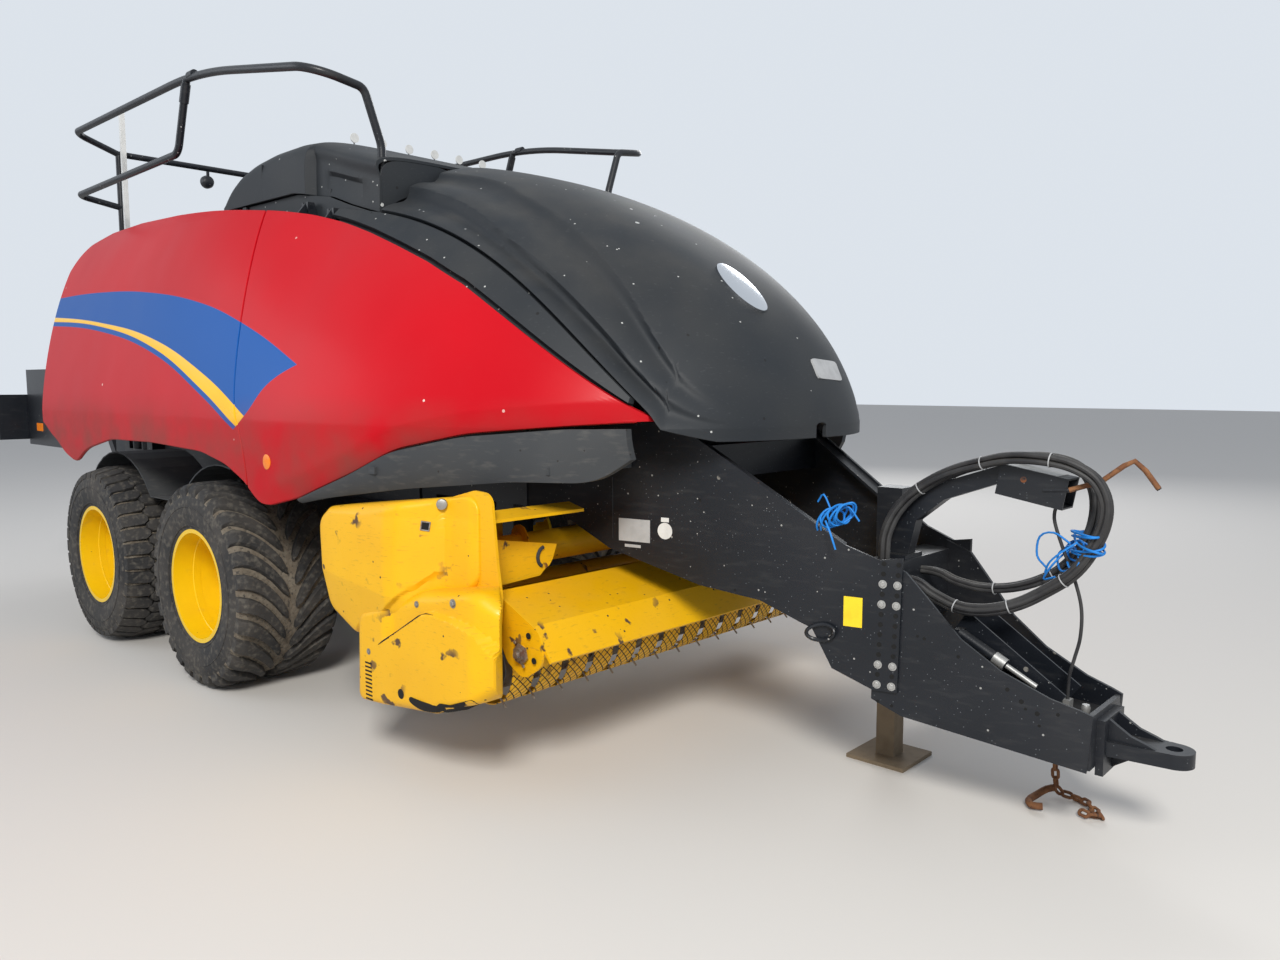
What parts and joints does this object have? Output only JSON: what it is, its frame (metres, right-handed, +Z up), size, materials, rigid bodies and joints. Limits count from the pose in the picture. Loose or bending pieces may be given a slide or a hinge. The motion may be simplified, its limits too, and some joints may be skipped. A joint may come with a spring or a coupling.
{
  "type": "square baler",
  "caption": "Large towed square baler with hinged side panels and hood, tandem steered axle, lifted pickup reel, long drawbar and parking jack.",
  "frame": {"origin": "on the ground, in the middle of the outline seen from above", "axes": "+X forwards along the drawbar to the tow eye, +Y to the left of travel, +Z up"},
  "size_m": [8.12, 2.78, 3.365],
  "materials": {
    "red_paint": "gloss",
    "hood_plastic": "satin",
    "frame_paint": "satin",
    "pickup_paint": "gloss",
    "tyre_rubber": "matte",
    "rim_paint": "gloss",
    "guard_plastic": "matte",
    "bare_steel": "worn",
    "hose_rubber": "matte",
    "white_plastic": "gloss"
  },
  "bodies": {
    "chassis": {"chassis_rails": "frame_paint", "bale_chamber": "guard_plastic", "frame_plates": "frame_paint", "drawbar": "frame_paint", "tow_hitch": "frame_paint", "gearbox_block": "bare_steel", "roof_bands": "hood_plastic", "skirts": "guard_plastic", "knotter_cover": "hood_plastic", "platform": "frame_paint", "guard_rails": "frame_paint", "indicator_mast": "white_plastic", "rear_lights": "guard_plastic", "mudguards": "guard_plastic", "front_axle": "frame_paint", "rear_axle": "frame_paint", "leaf_springs": "frame_paint", "jack_tube": "frame_paint", "hose_arm": "frame_paint", "shaft_cradle": "frame_paint", "twine_indicators": "white_plastic", "density_frame": "frame_paint", "hose_loop_upper": "hose_rubber", "hose_loop_lower": "hose_rubber", "control_cable": "hose_rubber"},
    "knuckle_right": {"knuckle_right": "bare_steel"},
    "knuckle_left": {"knuckle_left": "bare_steel"},
    "tie_rod": {"tie_rod": "bare_steel"},
    "wheel_front_right": {"tyre_front_right": "tyre_rubber", "rim_front_right": "rim_paint"},
    "wheel_front_left": {"tyre_front_left": "tyre_rubber", "rim_front_left": "rim_paint"},
    "wheel_rear_right": {"tyre_rear_right": "tyre_rubber", "rim_rear_right": "rim_paint"},
    "wheel_rear_left": {"tyre_rear_left": "tyre_rubber", "rim_rear_left": "rim_paint"},
    "hood": {"hood": "hood_plastic"},
    "panel_front_right": {"panel_front_right": "red_paint"},
    "panel_front_left": {"panel_front_left": "red_paint"},
    "panel_rear_right": {"panel_rear_right": "red_paint"},
    "panel_rear_left": {"panel_rear_left": "red_paint"},
    "pickup": {"pickup_frame": "pickup_paint", "pickup_shields": "pickup_paint"},
    "feed_auger": {"feed_auger": "pickup_paint"},
    "pickup_reel": {"pickup_reel": "pickup_paint"},
    "wind_guard": {"wind_guard": "pickup_paint"},
    "crop_roller": {"crop_roller": "pickup_paint"},
    "jack_leg": {"jack_leg": "bare_steel"},
    "bale_chute": {"bale_chute": "frame_paint"}
  },
  "joints": [
    {"name": "wheel_front_right_spin", "type": "hinge", "parent": "chassis", "child": "wheel_front_right", "pos_m": [-0.22, -1.11, 0.535], "axis": [0, 1, 0], "continuous": true},
    {"name": "wheel_front_left_spin", "type": "hinge", "parent": "chassis", "child": "wheel_front_left", "pos_m": [-0.22, 1.11, 0.535], "axis": [0, 1, 0], "continuous": true},
    {"name": "steer_left", "type": "hinge", "parent": "chassis", "child": "knuckle_left", "pos_m": [-1.61, 0.78, 0.535], "axis": [0, 0, 1], "range_deg": [-8, 8]},
    {"name": "steer_right", "type": "hinge", "parent": "chassis", "child": "knuckle_right", "pos_m": [-1.61, -0.78, 0.535], "axis": [0, 0, 1], "range_deg": [-8, 8]},
    {"name": "tie_rod_pivot", "type": "hinge", "parent": "knuckle_left", "child": "tie_rod", "pos_m": [-1.8, 0.78, 0.556], "axis": [0, 0, 1], "range_deg": [-8, 8]},
    {"name": "wheel_rear_right_spin", "type": "hinge", "parent": "knuckle_right", "child": "wheel_rear_right", "pos_m": [-1.61, -1.11, 0.535], "axis": [0, 1, 0], "continuous": true},
    {"name": "wheel_rear_left_spin", "type": "hinge", "parent": "knuckle_left", "child": "wheel_rear_left", "pos_m": [-1.61, 1.11, 0.535], "axis": [0, 1, 0], "continuous": true},
    {"name": "hood_hinge", "type": "hinge", "parent": "chassis", "child": "hood", "pos_m": [0.712, 0, 2.665], "axis": [0, -1, 0], "range_deg": [0, 45]},
    {"name": "panel_front_right_hinge", "type": "hinge", "parent": "chassis", "child": "panel_front_right", "pos_m": [0.16, -0.88, 2.4616], "axis": [-0.9724, 0, 0.2334], "range_deg": [0, 50]},
    {"name": "panel_front_left_hinge", "type": "hinge", "parent": "chassis", "child": "panel_front_left", "pos_m": [0.16, 0.88, 2.4616], "axis": [0.9724, 0, -0.2334], "range_deg": [0, 50]},
    {"name": "panel_rear_right_hinge", "type": "hinge", "parent": "chassis", "child": "panel_rear_right", "pos_m": [-1.3, -0.88, 2.5], "axis": [-1, 0, 0], "range_deg": [0, 50]},
    {"name": "panel_rear_left_hinge", "type": "hinge", "parent": "chassis", "child": "panel_rear_left", "pos_m": [-1.3, 0.88, 2.5], "axis": [1, 0, 0], "range_deg": [0, 50]},
    {"name": "pickup_lift", "type": "hinge", "parent": "chassis", "child": "pickup", "pos_m": [0.75, 0, 0.7], "axis": [0, -1, 0], "range_deg": [-12, 2]},
    {"name": "auger_spin", "type": "hinge", "parent": "pickup", "child": "feed_auger", "pos_m": [1.56, 0, 0.85], "axis": [0, 1, 0], "continuous": true},
    {"name": "reel_spin", "type": "hinge", "parent": "pickup", "child": "pickup_reel", "pos_m": [1.8, 0, 0.47], "axis": [0, 1, 0], "continuous": true},
    {"name": "wind_guard_lift", "type": "hinge", "parent": "pickup", "child": "wind_guard", "pos_m": [1.79, 0, 0.82], "axis": [0, -1, 0], "range_deg": [0, 12]},
    {"name": "crop_roller_spin", "type": "hinge", "parent": "wind_guard", "child": "crop_roller", "pos_m": [2.07, 0, 0.59], "axis": [0, 1, 0], "continuous": true},
    {"name": "jack_slide", "type": "slide", "parent": "chassis", "child": "jack_leg", "axis": [0, 0, 1], "range_m": [0, 0.33]},
    {"name": "chute_fold", "type": "hinge", "parent": "chassis", "child": "bale_chute", "pos_m": [-3.47, 0, 0.96], "axis": [0, -1, 0], "range_deg": [0, 70]}
  ],
  "couplings": [
    {"joint": "steer_right", "follows": "steer_left", "ratio": 1},
    {"joint": "tie_rod_pivot", "follows": "steer_left", "ratio": -1}
  ]
}
